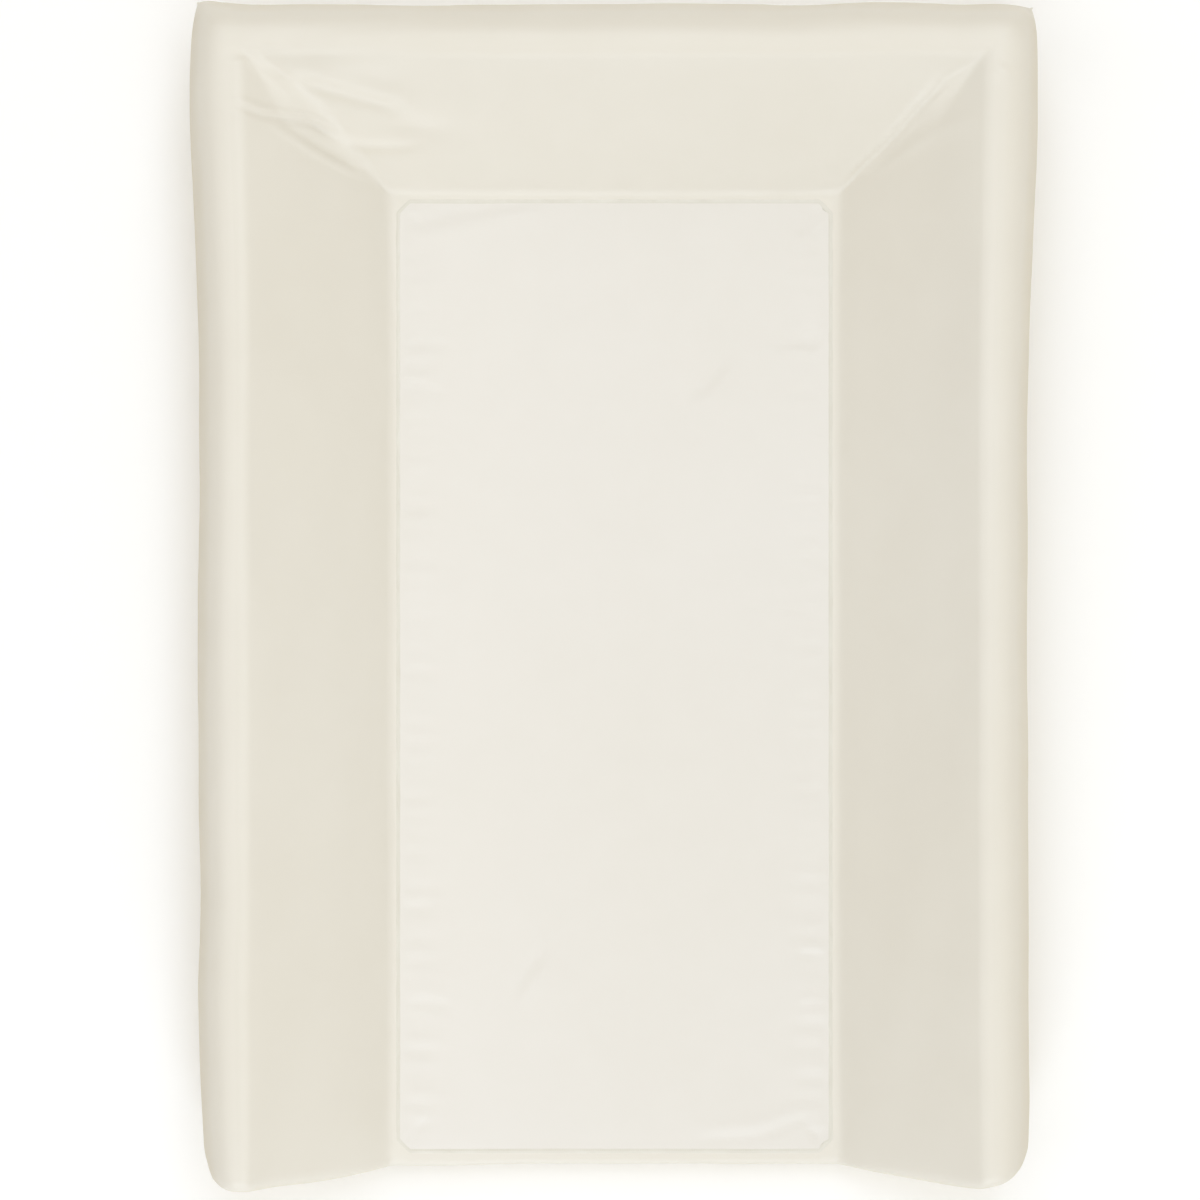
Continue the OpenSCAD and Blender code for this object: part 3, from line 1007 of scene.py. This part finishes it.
def weld_material(name, light, warm):
    """Fused film: glossier, pressed by a finely ribbed bar."""
    s = Shader(name)
    s.colour(s.mix(s.patches(60, 3.0), light, warm))
    s.set(Roughness=s.patches(120, least=0.30, most=0.42), Coat_Weight=0.2, Coat_Roughness=0.2)
    s.bump(s.add(s.bands(230, "X"), s.bands(230, "Y")), 0.12, 0.0003)
    s.bump(s.noise(500, 2.0), 0.10, 0.0003)
    return s.material


def underside_material():
    """Backing film with a pressed linen grain that keeps the pad from sliding."""
    s = Shader("film_underside")
    s.colour(s.mix(s.patches(7, 4.0), (0.74, 0.70, 0.60), (0.69, 0.64, 0.53)))
    s.set(Roughness=s.patches(45, 3.0, least=0.46, most=0.62), Coat_Weight=0.08)
    s.bump(s.add(s.bands(320, "X"), s.bands(320, "Y")), 0.35, 0.0004)
    s.bump(s.noise(30, 3.0), 0.12, 0.002)
    return s.material


def foam_material():
    """Open-cell foam: matt, pale and pitted, a little yellowed in patches, with painted shade in its pits."""
    s = Shader("foam_open_cell")
    patch = s.patches(11, 5.0, 0.6, low=0.35, high=0.65)
    # painted shade: darker at the cell centres, where the bump below sinks into pits
    painted_pit_shade = s.spread_to(s.cells(650), 0.0, 0.6, 0.0, 1.0)
    base = s.mix(patch, (0.86, 0.80, 0.58), (0.80, 0.70, 0.44))
    s.colour(s.mix(painted_pit_shade, (0.62, 0.54, 0.34), base))
    s.set(Roughness=0.95, Sheen_Weight=0.3, Sheen_Roughness=0.6)
    s.bump(s.cells(650), 0.7, 0.0012)
    s.bump(s.noise(900, 3.0), 0.4, 0.0006)
    return s.material


def vent_material():
    """Moulded nylon, lightly frosted and a little dusty in its tone."""
    s = Shader("vent_nylon")
    s.colour(s.mix(s.patches(260, 3.0), (0.84, 0.83, 0.79), (0.78, 0.76, 0.70)))
    s.set(Roughness=s.patches(500, 3.0, least=0.28, most=0.46), Coat_Weight=0.1)
    s.bump(s.noise(1400, 2.0), 0.15, 0.0002)
    return s.material


# The pad

border, seams = border_cover()
panel = centre_cover()
weld = window_weld()
hem = hem_weld()
under = underside()

slab = foam_block("foam_core_slab", "foam_slab", slab_share)
wedges = {
    side: foam_block("foam_core_wedge_" + side, "foam_wedge_" + side, wedge_share)
    for side in ("left", "right", "head")
}

dart_names = [("foot_left", -1, -1), ("foot_right", 1, -1), ("head_right", 1, 1), ("head_left", -1, 1)]
darts = {
    name: corner_dart("cover_dart_" + name, seam, sx, sy)
    for (name, sx, sy), seam in zip(dart_names, seams)
}
eyelets = {side: eyelet("vent_face_" + side, x * VENT[0]) for side, x in (("left", -1), ("right", 1))}
washers = {side: washer("vent_back_" + side, x * VENT[0]) for side, x in (("left", -1), ("right", 1))}

IVORY, IVORY_WARM = (0.756, 0.727, 0.657), (0.745, 0.712, 0.634)
WHITE, WHITE_WARM = (0.757, 0.733, 0.688), (0.749, 0.723, 0.670)
# the last number is the strength of the painted shade on the outer walls
border_film = film_material("film_border", IVORY, IVORY_WARM, 0.48, 0.06, 0.7)
panel_film = film_material("film_centre", WHITE, WHITE_WARM, 0.48, 0.06)
weld_film = weld_material("film_weld", (0.71, 0.69, 0.62), (0.67, 0.645, 0.57))
hem_film = weld_material("film_hem", (0.76, 0.73, 0.63), (0.73, 0.69, 0.58))


def place(obj, look, slot, *nodes):
    obj.data.materials.append(look)
    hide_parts(*nodes)
    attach(obj, "root")


place(border, border_film, "border_film", "border_skin")
place(panel, panel_film, "panel_film", "centre_panel")
place(weld, weld_film, "weld_film", "centre_weld")
place(hem, hem_film, "weld_film", "perimeter_weld")
place(under, underside_material(), "base_film", "base_sheet")
foam_look, vent_look = foam_material(), vent_material()
place(slab, foam_look, "foam", "foam_slab")
for side, wedge in wedges.items():
    place(wedge, foam_look, "foam", "foam_wedge_" + side)
for name, dart in darts.items():
    place(dart, hem_film, "weld_film", "corner_dart_" + name)
for side in ("left", "right"):
    place(eyelets[side], vent_look, "vent_plastic", "vent_eyelet_" + side)
    place(washers[side], vent_look, "vent_plastic", "vent_washer_" + side)


# Floor, light and camera


def floor():
    """A pale floor just under the pad. It reaches 60 m, so that low views hardly see its edge."""
    corners = [(60000 * sx, 60000 * sy, -0.2) for sx, sy in ((-1, -1), (1, -1), (1, 1), (-1, 1))]
    obj = new_object("floor", corners, [(0, 1, 2, 3)], False)
    s = Shader("floor_pale")
    s.colour(s.mix(s.patches(2.0), (0.945, 0.945, 0.945), (0.955, 0.955, 0.955)))
    s.set(Roughness=0.9)
    obj.data.materials.append(s.material)


def soft_box(name, bearing, height, far, size, power, tint):
    """A square light aimed at the pad: bearing from +X and height above the floor, in degrees, how
    far off and how wide it is, in metres, and its power in watts."""
    data = bpy.data.lights.new(name, "AREA")
    data.shape, data.size, data.energy, data.color = "SQUARE", size, power, tint
    obj = bpy.data.objects.new(name, data)
    a, e = math.radians(bearing), math.radians(height)
    obj.location = (far * math.cos(e) * math.cos(a), far * math.cos(e) * math.sin(a), far * math.sin(e))
    obj.rotation_euler = (-obj.location).to_track_quat("-Z", "Y").to_euler()
    bpy.context.scene.collection.objects.link(obj)


floor()
COOL = (0.88, 1.0, 1.19)
soft_box("overhead", 40, 74, 2.95, 1.1, 6, COOL)
soft_box("head_high", 90, 60, 3.2, 2.2, 20, COOL)
soft_box("head_side", 90, 35, 3.2, 2.2, 11, COOL)
soft_box("foot_high", 270, 60, 3.2, 2.2, 5, COOL)
soft_box("foot_side", 270, 35, 3.2, 2.2, 41, COOL)
soft_box("left_side", 180, 48, 3.2, 2.2, 12, (1.0, 1.0, 1.04))
soft_box("right_side", 0, 20, 2.8, 1.3, 4, COOL)


def soft_room():
    """A pale, even room: warm all round, and darker low down on the left."""
    world = bpy.data.worlds.new("soft_room")
    world.use_nodes = True
    tree = world.node_tree
    sky = tree.nodes["Background"]
    sky.inputs["Color"].default_value = (1, 0.88, 0.66, 1)
    lean = tree.nodes.new("ShaderNodeVectorMath")
    lean.operation = "DOT_PRODUCT"
    lean.inputs[1].default_value = (-1, 0, -0.9)
    tree.links.new(tree.nodes.new("ShaderNodeTexCoord").outputs["Generated"], lean.inputs[0])
    level = tree.nodes.new("ShaderNodeMapRange")
    for key, number in (("From Min", 0.0), ("From Max", 0.6), ("To Min", 0.6), ("To Max", 0.22)):
        level.inputs[key].default_value = number
    tree.links.new(lean.outputs["Value"], level.inputs["Value"])
    tree.links.new(level.outputs["Result"], sky.inputs["Strength"])
    bpy.context.scene.world = world


soft_room()

view = bpy.context.scene.view_settings
view.view_transform, view.look, view.exposure, view.gamma = "Standard", "None", 0, 1

camera_data = bpy.data.cameras.new("camera")
camera_data.lens, camera_data.sensor_width = 87.2, 36
camera_data.clip_start, camera_data.clip_end = 0.1, 120
camera = bpy.data.objects.new("camera", camera_data)
camera.location = (-0.0088, -0.0018, 1.8)  # looking straight down, as in the photograph
bpy.context.scene.collection.objects.link(camera)
bpy.context.scene.camera = camera
